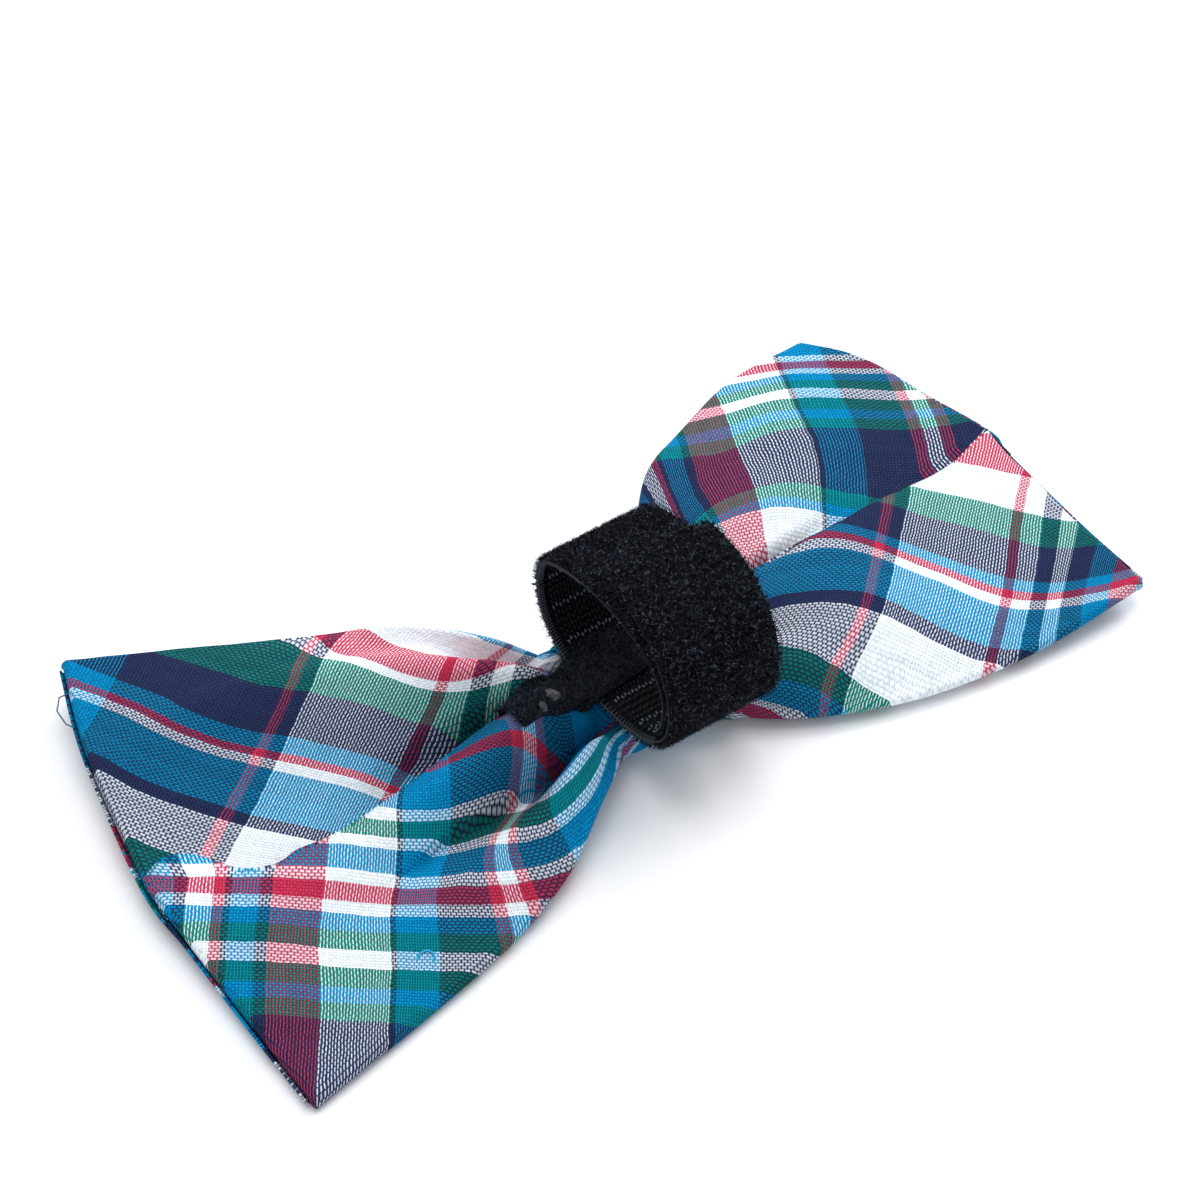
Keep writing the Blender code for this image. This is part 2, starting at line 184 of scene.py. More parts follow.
# Places of one large check, each from the first thread counted.
CHECKS = {
    "edge_check": {
        "columns_from": -40,
        "columns": stripe_counts(
            "white 22, red 6, navy 6, blue 9, navy 3, white 8, red 4, navy 2, blue 8, navy 4, "
            "red 16, white 21, navy 2, blue 13, navy 17, red 3, white 6, red 3, navy 13, blue 60"
        ),
        "rows_from": -70,
        "rows": stripe_counts(
            "white 12, navy 13, blue 11, red 5, blue 11, white 3, green 5, white 3, blue 7, "
            "white 4, red 5, white 4, blue 6, green 6, white 6, green 7, blue 6, green 6, navy 30, "
            "green 6, blue 4, white 40"
        ),
    },
    "middle_check": {
        "columns_from": -25,
        "columns": stripe_counts(
            "blue 25, navy 49, red 4, navy 5, white 36, red 4, white 7, navy 6, white 6, navy 9, "
            "blue 12, red 12, blue 20"
        ),
        "rows_from": -60,
        "rows": stripe_counts(
            "blue 19, white 21, red 16, white 4, green 15, navy 19, blue 6, red 4, white 4, "
            "blue 20, navy 5, white 16, green 8, blue 10, white 6, red 20, navy 20"
        ),
    },
}
# The right wing's near panel comes from beside a wider white stripe.
CHECKS["corner_check"] = {
    "columns_from": -25,
    "columns": CHECKS["middle_check"]["columns"],
    "rows_from": -60,
    "rows": stripe_counts(
        "white 20, red 20, white 20, green 16, navy 20, blue 6, red 4, white 5, blue 18, "
        "navy 6, white 15, green 8, blue 9, white 4, red 9, white 6, green 20"
    ),
}

# The thread that lies at each crossing of a panel's fold lines, counted on the photographed bow.
# A far panel has the lines far, dip_1, ridge_1 and seam, and a near panel has the rest from the seam.
# Each row is how far out it is, then one thread for each of those lines.
COLUMN_AT = {
    "left_far": (
        (0.00, 112, 126, 134, 142), (0.12, 87, 107, 117, 125), (0.27, 73, 83, 93, 109),
        (0.45, 51, 59, 69, 99), (0.70, 19, 26, 37, 77), (1.00, -15, -3, 14, 40),
    ),
    "left_near": (
        (0.00, 140, 142, 145, 158, 163), (0.12, 118, 119, 122, 141, 147), (0.27, 93, 97, 106, 124, 125),
        (0.45, 68, 78, 86, 100, 106), (0.70, 39, 48, 61, 70, 81), (1.00, -4, 10, 23, 35, 48),
    ),
    "right_far": (
        (0.00, -22, -12, -2, 6), (0.12, -8, 5, 14, 24), (0.27, 13, 27, 35, 46),
        (0.45, 31, 45, 54, 68), (0.70, 53, 67, 77, 93), (1.00, 80, 96, 109, 123),
    ),
    "right_near": (
        (0.00, -22, -16, 4, 18, 22), (0.12, -4, 2, 21, 38, 45), (0.27, 16, 22, 38, 56, 68),
        (0.45, 31, 37, 57, 76, 86), (0.70, 54, 59, 79, 96, 112), (1.00, 78, 85, 104, 122, 150),
    ),
}
ROW_AT = {
    "left_far": (
        (0.00, -45, -25, -8, 4), (0.12, -42, -21, -4, 6), (0.27, -32, -19, -12, 20),
        (0.45, -4, -2, 8, 44), (0.70, 7, 19, 29, 78), (1.00, 35, 57, 75, 100),
    ),
    "left_near": (
        (0.00, -54, -42, -30, -12, 0), (0.12, -52, -43, -31, -18, -6), (0.27, -49, -31, -15, -12, 1),
        (0.45, -24, -23, -9, 0, 16), (0.70, -5, 0, 13, 25, 42), (1.00, 6, 24, 42, 59, 75),
    ),
    "right_far": (
        (0.00, 55, 70, 95, 112), (0.12, 55, 74, 98, 118), (0.27, 53, 65, 89, 110),
        (0.45, 38, 51, 80, 100), (0.70, 14, 34, 58, 75), (1.00, -7, 3, 27, 57),
    ),
    "right_near": (
        (0.00, 62, 66, 88, 98, 112), (0.12, 58, 62, 86, 96, 106), (0.27, 52, 54, 79, 87, 92),
        (0.45, 40, 43, 65, 77, 83), (0.70, 0, 5, 28, 46, 66), (1.00, -42, -32, -14, 9, 44),
    ),
}

# The left near panel's threads as (stripe count, threads woven). They're set closer beside the knot.
WOVEN = {
    "left_near": (
        ((-60, -60), (0, 0), (60, 60), (85, 90), (125, 138), (180, 205)),
        ((-80, -117), (-28, -34), (-18, -20), (15, 15), (100, 100)),
    ),
}

# Real sizes of the weave, along a row and across the rows.
COLUMN_PITCH = 0.42 * MM
ROW_PITCH = 0.43 * MM
# A float's half width and half length, in threads.
COLUMN_FLOAT = (0.20, 1.2)
ROW_FLOAT = (0.48, 0.80)


def linear(hex_colour):
    """An sRGB hex colour as linear RGBA."""
    parts = [int(hex_colour[k : k + 2], 16) / 255 for k in (1, 3, 5)]
    return tuple(p / 12.92 if p <= 0.04045 else ((p + 0.055) / 1.055) ** 2.4 for p in parts) + (1.0,)


def grey(level):
    return (level, level, level)


def smooth_step(share):
    share = min(max(share, 0.0), 1.0)
    return share * share * (3 - 2 * share)


def through(places, values, place):
    """The smooth curve through the values, read at one place."""
    last = len(places) - 1
    span = 0
    while span < last - 1 and place > places[span + 1]:
        span += 1

    def slope(at):
        before, after = max(at - 1, 0), min(at + 1, last)
        return (values[after] - values[before]) / (places[after] - places[before])

    run = places[span + 1] - places[span]
    t = (place - places[span]) / run
    start = (2 * t**3 - 3 * t**2 + 1) * values[span]
    leave = (t**3 - 2 * t**2 + t) * run * slope(span)
    end = (3 * t**2 - 2 * t**3) * values[span + 1]
    arrive = (t**3 - t**2) * run * slope(span + 1)
    return start + leave + end + arrive


def read_column(table, column, out, neck_size=1.0, wing_size=1.0):
    places = [row[0] for row in table]
    values = [row[column + 1] * (wing_size if row[0] else neck_size) for row in table]
    return through(places, values, out)


# Nodes


def add(tree, kind, inputs=None, **settings):
    """Adds a shader node with its settings, and links or sets its inputs."""
    made = tree.nodes.new("ShaderNode" + kind)
    for name, value in settings.items():
        setattr(made, name, value)
    for socket, value in (inputs or {}).items():
        if isinstance(value, bpy.types.NodeSocket):
            tree.links.new(value, made.inputs[socket])
        else:
            made.inputs[socket].default_value = value
    return made


def new_material(name, **constants):
    material = bpy.data.materials.new(name)
    material.use_nodes = True
    shader = material.node_tree.nodes["Principled BSDF"]
    for socket, value in constants.items():
        shader.inputs[socket.replace("_", " ")].default_value = value
    return material, material.node_tree, shader


def paint(tree, shader, colour, height, strength, depth):
    """Links the colour and a bump that stands up by the depth."""
    tree.links.new(colour, shader.inputs["Base Color"])
    bump = add(tree, "Bump", {"Height": height, "Strength": strength, "Distance": depth})
    tree.links.new(bump.outputs["Normal"], shader.inputs["Normal"])


def two_colours(tree, share, low, high, start=0.0, stop=1.0):
    """The low colour up to the start, turning into the high one at the stop."""
    ramp = add(tree, "ValToRGB", {"Fac": share})
    for element, place, colour in zip(ramp.color_ramp.elements, (start, stop), (low, high)):
        element.position = place
        element.color = linear(colour)
    return ramp.outputs["Color"]


def stripes(tree, threads, first, position):
    """A ramp that gives each thread the colour of its stripe."""
    total = sum(count for _, count in threads)
    share = add(tree, "MapRange", {
        "Value": position, "From Min": float(first), "From Max": float(first + total),
    }).outputs["Result"]
    ramp = add(tree, "ValToRGB", {"Fac": share})
    ramp.color_ramp.interpolation = "CONSTANT"
    stops = ramp.color_ramp.elements
    place = 0
    for k, (colour, count) in enumerate(threads):
        stop = stops[0] if k == 0 else stops[1] if k == 1 else stops.new(place / total)
        stop.position = place / total
        stop.color = linear(YARN[colour])
        place += count
    return ramp.outputs["Color"]


def plaid_cotton(name, check):
    """Light plain-weave cotton, woven from yarns coloured before weaving: matt, with painted shade that
    darkens the small holes between the threads and the edges of each float, and a fine chequer of both
    colours wherever stripes of different colours cross."""
    material, tree, shader = new_material(name, Roughness=0.9, Specular_IOR_Level=0.06)

    def calc(operation, first, second=0.0, third=0.0):
        return add(tree, "Math", {0: first, 1: second, 2: third}, operation=operation).outputs[0]

    def both(operation, first, second, third=None):
        inputs = {0: first, "Scale" if operation == "SCALE" else 1: second}
        if third:
            inputs[2] = third
        return add(tree, "VectorMath", inputs, operation=operation).outputs[0]

    striped = add(tree, "Attribute", attribute_name="threads").outputs["Vector"]
    counted = add(tree, "Attribute", attribute_name="weave").outputs["Vector"]
    uneven = add(tree, "TexNoise", {"Vector": counted, "Scale": 0.2, "Detail": 2.0}).outputs["Color"]
    # The yarns aren't quite straight: they sway by up to half a thread.
    wide = both("SCALE", both("SUBTRACT", uneven, grey(0.5)), 0.9)
    across = add(tree, "SeparateXYZ", {"Vector": both("ADD", counted, wide)})
    u, v = across.outputs["X"], across.outputs["Y"]
    column, row = calc("FLOOR", u), calc("FLOOR", v)
    in_column, in_row = calc("SUBTRACT", u, column), calc("SUBTRACT", v, row)

    def mixed(factor, first, second):
        return add(tree, "Mix", {"Factor": factor, 6: first, 7: second}, data_type="RGBA").outputs[2]

    def either(factor, first, second):
        return add(tree, "Mix", {"Factor": factor, "A": first, "B": second}).outputs["Result"]

    def blend(value, low, high, bottom=0.0, top=1.0):
        return add(tree, "MapRange", {
            "Value": value, "From Min": low, "From Max": high, "To Min": bottom, "To Max": top,
        }, interpolation_type="SMOOTHSTEP").outputs["Result"]

    # A yarn shows as a row of floats, one over every second yarn that it crosses. The column yarn is
    # the tighter one: its floats are long and narrow, and the row yarn fills the space between them.
    half_sum = calc("MULTIPLY", calc("ADD", column, row), 0.5)
    row_on_top = calc("GREATER_THAN", calc("FRACT", half_sum), 0.25)
    off_column = calc("ABSOLUTE", calc("SUBTRACT", in_column, 0.5))
    off_row = calc("ABSOLUTE", calc("SUBTRACT", in_row, 0.5))
    down_column = either(row_on_top, off_row, calc("SUBTRACT", 1.0, off_row))
    down_row = either(row_on_top, calc("SUBTRACT", 1.0, off_column), off_column)

    def float_height(side, narrow, end, long):
        round_side = calc("MULTIPLY", calc("POWER", side, 2.0), -1 / narrow**2)
        return calc("ADD", calc("MULTIPLY_ADD", calc("POWER", end, 2.0), -1 / long**2, 1.0), round_side)

    column_float = float_height(off_column, COLUMN_FLOAT[0], down_column, COLUMN_FLOAT[1])
    row_float = float_height(off_row, ROW_FLOAT[0], down_row, ROW_FLOAT[1])
    column_shows = blend(calc("SUBTRACT", column_float, row_float), -0.52, -0.24)
    lift = either(column_shows, row_float, column_float)

    # Light goes through a thin yarn, so each one is tinted a little by the yarn that crosses it.
    swayed = add(tree, "SeparateXYZ", {"Vector": both("ADD", striped, wide)})
    columns = stripes(tree, check["columns"], check["columns_from"], swayed.outputs["X"])
    rows = stripes(tree, check["rows"], check["rows_from"], swayed.outputs["Y"])
    column_yarn = both("MULTIPLY", columns, both("MULTIPLY_ADD", rows, grey(0.3), grey(0.72)))
    row_yarn = both("MULTIPLY", rows, both("MULTIPLY_ADD", columns, grey(0.4), grey(0.6)))
    yarn = mixed(column_shows, row_yarn, column_yarn)

    # Each yarn is a little lighter or darker than the next, and slubbed along its length.
    by_column = add(tree, "TexWhiteNoise", {"W": column}, noise_dimensions="1D").outputs["Value"]
    by_row = add(tree, "TexWhiteNoise", {
        "W": calc("ADD", row, 0.37),
    }, noise_dimensions="1D").outputs["Value"]
    yarn_noise = either(column_shows, by_row, by_column)
    slub = add(tree, "TexNoise", {"Vector": counted, "Scale": 0.5, "Detail": 3.0}).outputs["Fac"]
    slubbed = calc("MULTIPLY_ADD", slub, 0.5, -0.25)
    heather = calc("ADD", calc("MULTIPLY_ADD", yarn_noise, 0.2, 0.9), slubbed)
    # Painted shade: the holes and the edges of each float are darkened, and the crowns lightened, by how
    # high the float stands.
    painted_weave_shade = blend(lift, -0.45, 0.6)
    # Light also scatters about between pale yarns, so the painted shade in the holes between them stays
    # pale.
    glow = both("MULTIPLY", columns, rows)
    deep = both("MULTIPLY", yarn, both("MULTIPLY_ADD", glow, grey(0.75), grey(0.10)))
    # The yarns' own colour and heather, times the painted shade of the weave.
    yarn_and_painted_shade = both("SCALE", mixed(painted_weave_shade, deep, both("SCALE", yarn, 1.08)), heather)
    paint(tree, shader, yarn_and_painted_shade, blend(lift, -0.5, 1.0), 0.55, 0.10 * MM)
    return material


def black_pile(name, colour, tip):
    """Black nylon loop pile, brushed up: dull and deep, with cooler, paler spots here and there from a
    fine noise, which are painted sheen on the tips.
    """
    material, tree, shader = new_material(name, Roughness=0.65, Specular_IOR_Level=0.08)
    where = add(tree, "TexCoord").outputs["Object"]
    tuft = add(tree, "TexNoise", {"Vector": where, "Scale": 2600.0, "Detail": 3.0}).outputs["Fac"]
    paint(tree, shader, two_colours(tree, tuft, colour, tip, 0.46, 0.66), tuft, 0.8, 0.15 * MM)
    return material


def hook_tape(name):
    """Woven nylon hook tape: a smooth, nearly matt black ground in fine ribs."""
    material, tree, shader = new_material(name, Roughness=0.6, Specular_IOR_Level=0.06)
    where = add(tree, "Attribute", attribute_name="tape").outputs["Vector"]
    # Ribs across the tape, 0.5 mm apart.
    ribs = add(tree, "TexWave", {
        "Vector": where, "Scale": 1.0 / (0.5 * 6.2832), "Distortion": 0.6, "Detail": 1.0,
    }, wave_type="BANDS", bands_direction="Y").outputs["Fac"]
    # The ribs' crests are coloured a little lighter and the grooves between them darker, along with the
    # bump: painted shade.
    paint(tree, shader, two_colours(tree, ribs, "#030406", "#0c0f15"), ribs, 0.6, 0.12 * MM)
    return material


def plain_yarn(name, colour, roughness=0.7, variation=0.15):
    """Twisted thread of one colour: satin, with a fine grain of lighter and darker filaments."""
    material, tree, shader = new_material(
        name, Roughness=roughness, Specular_IOR_Level=0.3, Sheen_Weight=0.1,
    )
    where = add(tree, "TexCoord").outputs["Object"]
    grain = add(tree, "TexNoise", {"Vector": where, "Scale": 3000.0, "Detail": 2.0}).outputs["Fac"]
    shade = add(tree, "MapRange", {
        "Value": grain, "To Min": 1.0 - variation, "To Max": 1.0 + variation,
    }).outputs["Result"]
    tint = add(tree, "VectorMath", {0: linear(colour)[:3], "Scale": shade}, operation="SCALE").outputs[0]
    paint(tree, shader, tint, grain, 0.5, 0.05 * MM)
    return material


# Meshes


def add_piece(name, points, faces, material, slot, replaced=None,
              threads=None, weave=None, tape=None, smooth=True):
    """A piece in the bow's own frame, moved to where the waist is. It may stand for a CAD node."""
    weave = weave or threads
    mesh = bpy.data.meshes.new(name)
    mesh.from_pydata([Vector(p) + WAIST_AT for p in points], [], faces)
    mesh.materials.append(material)
    for attribute, values in (("threads", threads), ("weave", weave), ("tape", tape)):
        if values:
            layer = mesh.attributes.new(attribute, "FLOAT_VECTOR", "POINT")
            layer.data.foreach_set("vector", [n for value in values for n in value])
    if smooth:
        mesh.shade_smooth()
    made = bpy.data.objects.new(name, mesh)
    bpy.context.scene.collection.objects.link(made)
    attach(made, "root")
    if replaced:
        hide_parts(replaced)
    return made


def grid_faces(rows, columns, flip=False, closed=False):
    """Faces between neighbours in rows of points. A closed row joins its last point to its first."""
    faces = []
    for r in range(rows - 1):
        for c in range(columns if closed else columns - 1):
            after = (c + 1) % columns
            low, high = r * columns, (r + 1) * columns
            face = (low + c, high + c, high + after, low + after)
            faces.append(face[::-1] if flip else face)
    return faces


def cloth_wall(piece, thickness):
    """Gives a sheet its thickness, inward from the points."""
    wall = piece.modifiers.new("cloth", "SOLIDIFY")
    wall.thickness = thickness
    wall.offset = -1
    wall.use_even_offset = False


# The wings

OUT_STEPS = 150
ROLLED = [1.001, 1.002, 1.003]  # places on the outer edge, where it rolls under in three steps
STEPS_PER_SPAN = 20
FRONT_STEPS = 56
INSIDE = 0.14  # how far "out" runs below 0, inside the knot
NECK_THREADS = 60  # columns for each 1.0 of "out" in there
WALL = 0.30 * MM  # drawn thickness of the cotton
THINNEST = 0.6 * MM  # least room between a wing's back and its front
FLOOR_ROOM = 0.35 * MM  # least height of the back's outer face
SEAM_ALLOWANCE = 5.0 * MM  # how far the far panel goes on under the near one
HEM = 3.0 * MM  # how far a back panel goes on under the front one
DIVE = 6.0 * MM  # how far the far panel drops under the lip beside the knot
DIVE_FROM, DIVE_OVER = 0.32, 0.22  # where the drop starts before the seam and how long it is, in spans
DIVE_REACH = 0.62  # how far out the drop ends
BULGE = 0.9 * MM  # the most that a rolled fold stands out


def line_at(side, column, out):
    """(x, y, back, front) where a fold line is, from the middle of the waist to the outer edge."""
    sign, reach = SIDES[side]
    neck = tuple(
        read_column(table[side], column, max(out, 0.0), neck_size, wing_size)
        for table, neck_size, wing_size in (
            (ACROSS, NECK_HALF_WIDTH, WING_HALF_WIDTH),
            (BACK, KNOT_HEIGHT - GAP, PUFF_HEIGHT),
            (FRONT, KNOT_HEIGHT - GAP, PUFF_HEIGHT),
        )
    )
    x = sign * (NECK + (reach * EDGE[side][column] - NECK) * out)
    if out >= 0:
        return (x,) + neck
    inward = min(-out / INSIDE, 1.0)
    blend = smooth_step(inward * 1.6)
    bottom = CLOTH + GAP + 0.2 * MM
    waist = (WAIST[column] * WAIST_HALF_WIDTH, bottom + WAIST_HEIGHT - 0.4 * MM, bottom)
    x = sign * (NECK - (NECK - GAP) * inward)
    return (x,) + tuple(n + (w - n) * blend for n, w in zip(neck, waist))


def outs_of(steps):
    """Places from the middle of the waist to the outer edge."""
    inside = [-INSIDE + INSIDE * k / 10 for k in range(10)]
    return inside + [k / steps for k in range(steps + 1)]


def creases(side, x, y, out):
    """Small puckers in the cloth: long ones that run out from the waist and short soft dents."""
    along = abs(x) / MM
    gather = max(0.0, 1 - out) ** 1.2
    seed = 3.0 if side == "left" else 8.0
    fan = y / (0.25 + 0.75 * max(out, 0.0)) / MM
    long_folds = noise.noise(Vector((along * 0.035, fan * 0.16, seed)))
    dents = noise.noise(Vector((along * 0.11, y / MM * 0.13, seed + 5)))
    fine = noise.noise(Vector((along * 0.30, y / MM * 0.33, seed + 9)))
    return (0.55 * gather * long_folds + 0.35 * dents + 0.10 * fine) * MM


def tuck(place, out):
    """Height that the left near panel's pleat adds. It swells beside ridge_2 and drops into dip_2."""
    swell = smooth_step((place - 1.0) / 0.75) * (1 - smooth_step((place - 1.76) / 0.12))
    under = smooth_step((place - 1.76) / 0.12) * (1 - smooth_step((place - 1.88) / 0.6))
    fade = smooth_step(out / 0.05) * (1 - smooth_step((out - 0.38) / 0.28))
    return (1.3 * swell - 0.8 * under) * fade * MM


def back_panel(side, part):
    """Points, thread counts and size of one back panel, with its fold rolled to the front."""
    sign = SIDES[side][0]
    name = side + "_" + part
    columns = list(range(0, SEAM + 1)) if part == "far" else list(range(SEAM, len(LINES)))
    places = list(range(len(columns)))
    spans = len(columns) - 1
    points, threads, weave = [], [], []
    outs = outs_of(OUT_STEPS)
    width = 0
    for out in outs + ROLLED:
        over = max(0, round((out - 1.0) * 1000))
        at = min(out, 1.0)
        lines = [line_at(side, c, at) for c in columns]
        counts = []
        for k in range(len(columns)):
            u = read_column(COLUMN_AT[name], k, max(at, 0.0))
            v = read_column(ROW_AT[name], k, max(at, 0.0))
            if at < 0:
                u -= sign * at * NECK_THREADS
            counts.append((u, v))

        def surface(place):
            """(x, y, back, front, u, v) at a place across the panel."""
            low = [through(places, [line[k] for line in lines], place) for k in range(4)]
            return low + [through(places, [count[k] for count in counts], place) for k in range(2)]

        lip = through([p for p, _ in LIP[side]], [o for _, o in LIP[side]], max(at, 0.0)) * MM
        section = []
        if part == "far":
            for k in range(spans * STEPS_PER_SPAN + 1):
                place = k / STEPS_PER_SPAN
                spot = surface(place)
                dive = smooth_step((place - spans + DIVE_FROM) / DIVE_OVER)
                dive *= 1 - smooth_step(at / DIVE_REACH)
                spot[2] = max(spot[2] - DIVE * dive, spot[3] + THINNEST)
                section.append(spot)
            seam = section[-1]
            for step in (0.5, 1.0):  # on under the near panel
                hidden = list(seam)
                hidden[1] -= SEAM_ALLOWANCE * step
                hidden[2] = max(seam[2] - 0.9 * MM * step, seam[3] + THINNEST)
                hidden[5] += SEAM_ALLOWANCE * step / ROW_PITCH
                section.append(hidden)
        else:
            near_side = lines[0][1] - lines[1][1]
            start = max(-lip / near_side, 0.0) if near_side > 0 else 0.0
            start = min(start, 0.8)
            first = surface(start)
            if lip > 0:
                first[1] += lip
                first[2] += lip * 0.35
                first[5] -= lip / ROW_PITCH
            first[2] += 0.35 * MM  # the turned edge is two layers thick
            tucked = list(first)
            tucked[1] -= 0.5 * MM
            tucked[2] -= 0.45 * MM
            tucked[5] -= 1.5
            section += [tucked, first]
            count = spans * STEPS_PER_SPAN
            for k in range(1, count + 1):
                place = start + (spans - start) * k / count
                spot = surface(place)
                if side == "left":
                    spot[2] += tuck(place, at)
                section.append(spot)

        # The folded edge rolls down to the front.
        edge = section[0] if part == "far" else section[-1]
        outward = 1 if part == "far" else -1
        inner = section[3] if part == "far" else section[-4]
        run = max(math.dist(edge[:3], inner[:3]), 0.2 * MM)
        turn_u, turn_v = (edge[4] - inner[4]) / run, (edge[5] - inner[5]) / run
        rolled = []
        drop = max(edge[2] - edge[3], THINNEST)
        for turn in (30, 60, 90, 120, 150, 180):
            angle = math.radians(turn)
            spot = list(edge)
            spot[1] += outward * min(0.42 * drop, BULGE) * math.sin(angle)
            spot[2] = edge[3] + drop * (1 + math.cos(angle)) / 2
            spot[4] += drop * 1.3 * turn / 180 * turn_u
            spot[5] += drop * 1.3 * turn / 180 * turn_v
            rolled.append(spot)
        tail = list(rolled[-1])
        tail[1] -= outward * HEM
        tail[2] += 0.15 * MM
        tail[4] += HEM * turn_u
        tail[5] += HEM * turn_v
        rolled.append(tail)
        section = rolled[::-1] + section if part == "far" else section + rolled
        width = len(section)
        for x, y, back, front, u, v in section:
            pucker = creases(side, x, y, at) * (1.0 if back - front > 1.2 * MM else 0.3)
            z = max(back + pucker, FLOOR_ROOM)
            if over:
                turned = math.radians(30 * over)
                depth = max(back - front, 1.0 * MM) * 0.5
                x += sign * 0.45 * MM * math.sin(turned)
                z -= depth * (1 - math.cos(turned))
                z = max(z, FLOOR_ROOM)
                u += sign * over * 0.8
            points.append((x, y, z))
            threads.append((u, v, 0.0))
            woven = (u, v)
            if name in WOVEN:
                woven = [through([n for n, _ in table], [w for _, w in table], count)
                         for table, count in zip(WOVEN[name], (u, v))]
            weave.append((woven[0], woven[1], 0.0))
    return points, threads, weave, len(outs) + len(ROLLED), width


def front_panel(side):
    """The layer that the bow lies on. Its outer edge shows past the back as a thin sliver."""
    sign, reach = SIDES[side]
    places = list(range(len(LINES)))
    points, threads = [], []
    outs = outs_of(60)
    for out in outs + ROLLED:
        over = max(0, round((out - 1.0) * 1000))
        at = min(out, 1.0)
        lines = [line_at(side, c, at) for c in range(len(LINES))]
        for k in range(FRONT_STEPS + 1):
            place = k * (len(LINES) - 1) / FRONT_STEPS
            x, y, back, front = (through(places, [line[n] for line in lines], place) for n in range(4))
            front = max(front, 0.0)
            x += sign * 0.5 * MM * smooth_step((at - 0.8) / 0.2)
            z = front + 0.38 * MM
            if over:
                turned = math.radians(30 * over)
                x += sign * 0.5 * MM * math.sin(turned)
                z += max(back - front, 1.0 * MM) * 0.42 * (1 - math.cos(turned))
            points.append((x, y, z))
            threads.append(((reach - abs(x)) / COLUMN_PITCH, 20 - y / ROW_PITCH, 0.0))
    return points, threads, len(outs) + len(ROLLED), FRONT_STEPS + 1


LEFT_CLOTH = []  # the left wing's cloth, for the strip that lies on it


def make_wing(side, cotton):
    sign = SIDES[side][0]
    made = []
    cloth, shapes = [], []
    for part, check in (("far", "middle_check"), ("near", "edge_check")):
        if side == "right":
            check = "edge_check" if part == "far" else "corner_check"
        points, threads, weave, rows, width = back_panel(side, part)
        piece = add_piece(
            side + "_" + part + "_panel", points, grid_faces(rows, width, flip=sign < 0),
            cotton[check], "bow_cloth", side + "_wing", threads=threads, weave=weave,
        )
        cloth_wall(piece, WALL)
        made.append(piece)
        shapes += [tuple(index + len(cloth) for index in face) for face in grid_faces(rows, width)]
        cloth += [Vector(point) + WAIST_AT for point in points]
    if side == "left":
        LEFT_CLOTH.append(BVHTree.FromPolygons(cloth, shapes))
    points, threads, rows, width = front_panel(side)
    piece = add_piece(
        side + "_front_panel", points, grid_faces(rows, width, flip=sign > 0),
        cotton["middle_check"], "bow_cloth", side + "_wing", threads=threads,
    )
    cloth_wall(piece, WALL)
    made.append(piece)
    return made


# The knot


def make_knot(cotton):
    """A band of the same cloth, drawn tight round the waist."""
    half_width = WAIST_HALF_WIDTH + GAP + CLOTH
    half_height = KNOT_HEIGHT / 2
    corner = 1.9 * MM
    per_corner, per_side = 8, 14

    def corner_spot(quarter, degrees):
        """(y, z) on one of the rounded corners of the band's section."""
        start = math.radians(90 * quarter)
        cy = math.copysign(half_width - corner, math.cos(start + math.pi / 4))
        cz = math.copysign(half_height - corner, math.sin(start + math.pi / 4))
        turn = start + math.radians(degrees)
        return cy + corner * math.cos(turn), half_height + cz + corner * math.sin(turn)

    ring = []
    for quarter in range(4):
        ring += [corner_spot(quarter, 90 * k / per_corner) for k in range(per_corner + 1)]
        y0, z0 = ring[-1]
        y1, z1 = corner_spot(quarter + 1, 0)
        ring += [(y0 + (y1 - y0) * k / per_side, z0 + (z1 - z0) * k / per_side)
                 for k in range(1, per_side)]
    runs = [0.0]
    for before, here in zip(ring, ring[1:]):
        runs.append(runs[-1] + math.dist(before, here))
    stations = 26
    points, threads = [], []
    for s in range(stations + 1):
        x = KNOT_LENGTH * (s / stations - 0.5)
        rim = 1 - (2 * s / stations - 1) ** 8
        for (y, z), run in zip(ring, runs):
            fold = noise.noise(Vector((x * 500, run * 90, 21.0))) * 0.22 * MM
            inset = 0.35 * MM * (1 - rim) - fold * 0.6
            side = Vector((0, y, z - half_height))
            side.normalize()
            points.append((x, y - side.y * inset, max(z - side.z * inset, 0.0)))
            threads.append((x / COLUMN_PITCH - 12, run / ROW_PITCH, 0.0))
    piece = add_piece(
        "knot_band", points, grid_faces(stations + 1, len(ring), closed=True, flip=True),
        cotton["middle_check"], "knot_cloth", "center_knot", threads=threads,
    )
    cloth_wall(piece, 0.5 * MM)
    return piece


# The strap


def loop_point(degrees, out):
    """(y, z) on the strap's oval, moved out from its outer face."""
    turn = math.radians(degrees)
    power = 2 / LOOP_SQUARENESS
    across = math.copysign(abs(math.cos(turn)) ** power, math.cos(turn))
    up = math.copysign(abs(math.sin(turn)) ** power, math.sin(turn))
    y = LOOP_OFFSET + (LOOP_WIDTH / 2 + out) * across
    z = KNOT_HEIGHT + GAP + LOOP_HEIGHT / 2 + (LOOP_HEIGHT / 2 + out) * up
    return y, z


def strap_station(degrees):
    """Outer face of the strip: (middle, outward direction, direction along it)."""
    under = smooth_step((degrees - UNDER_FROM_DEG) / (UNDER_TO_DEG - UNDER_FROM_DEG))
    skew = 1 - smooth_step((degrees - LAP_END_DEG) / (LAP_SQUARE_DEG - LAP_END_DEG))
    out = -LAP_RISE * under
    y, z = loop_point(degrees, out)
    step = 1.5
    y0, z0 = loop_point(degrees - step, out)
    y1, z1 = loop_point(degrees + step, out)
    along = Vector((0, y1 - y0, z1 - z0)).normalized()
    outward = Vector((0, along.z, -along.y))
    return Vector((LAP_SKEW * skew, y, z)), outward, along


